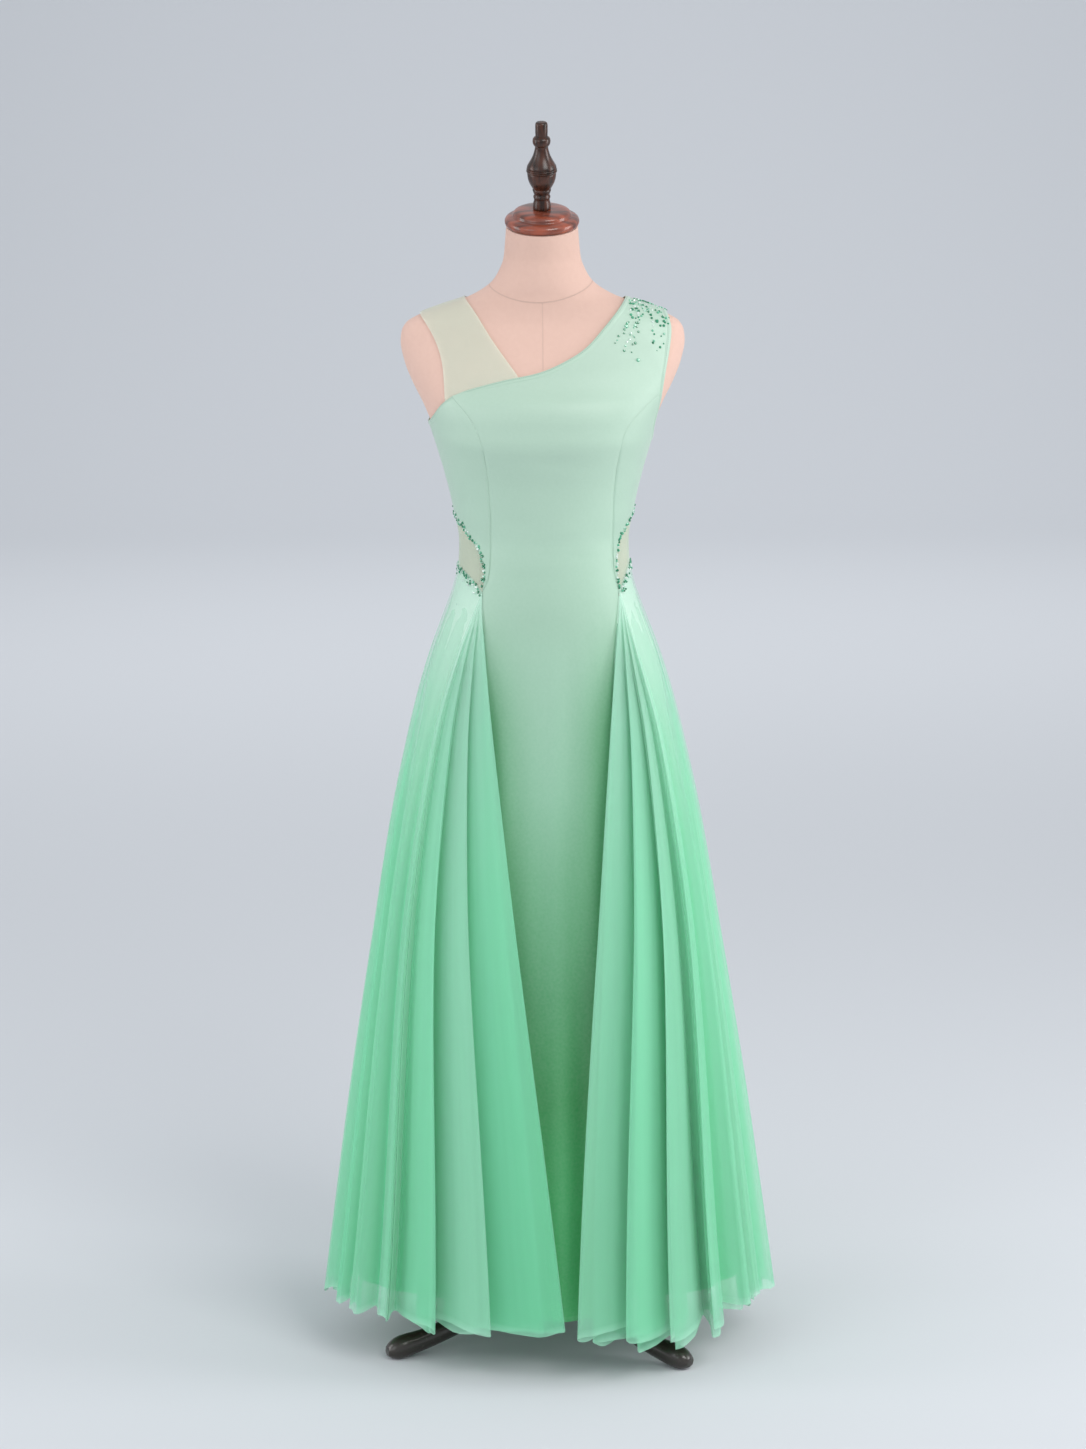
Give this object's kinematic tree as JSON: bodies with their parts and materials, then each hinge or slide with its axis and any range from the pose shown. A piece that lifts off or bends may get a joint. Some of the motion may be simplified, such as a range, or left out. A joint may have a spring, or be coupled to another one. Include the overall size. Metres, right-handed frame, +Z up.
{
  "type": "one-shoulder dance dress on a limbless dress form with a stand",
  "caption": "Floor-length one-shoulder dance dress with sheer yoke, waist cut-outs and tulle godets, worn on a limbless dress form with turned finial and tripod stand.",
  "frame": {"origin": "on the floor under the middle of the stand", "axes": "+Z up, -Y towards the front of the dress, +X towards the viewer's right when looking at the front"},
  "size_m": [0.6212, 0.4748, 1.6788],
  "materials": {
    "satin": "mint green stretch satin, soft sheen, deeper green towards the hem",
    "tulle": "green dress tulle in layers",
    "nude_mesh": "sheer pale stretch mesh",
    "form_linen": "plain linen weave, pale pink beige",
    "cap_wood": "reddish brown polished wood",
    "finial_wood": "very dark brown gloss lacquer",
    "stand_lacquer": "near black gloss lacquer"
  },
  "bodies": {
    "root": {"form_torso": "form_linen", "neck_cap": "cap_wood", "finial": "finial_wood", "pole_flange": "stand_lacquer", "stand_pole": "stand_lacquer", "stand_hub": "stand_lacquer", "leg_left": "stand_lacquer", "leg_right": "stand_lacquer", "leg_back": "stand_lacquer", "front_panel": "satin", "back_panel": "satin", "side_front_left": "satin", "side_front_right": "satin", "side_back_left": "satin", "side_back_right": "satin", "neckline_binding": "satin", "armhole_binding": "satin", "mesh_yoke": "nude_mesh", "waist_inset_left": "nude_mesh", "waist_inset_right": "nude_mesh", "godet_front_left": "tulle", "godet_front_right": "tulle", "godet_back_left": "tulle", "godet_back_right": "tulle", "side_skirt_left": "tulle", "side_skirt_right": "tulle"}
  },
  "joints": []
}
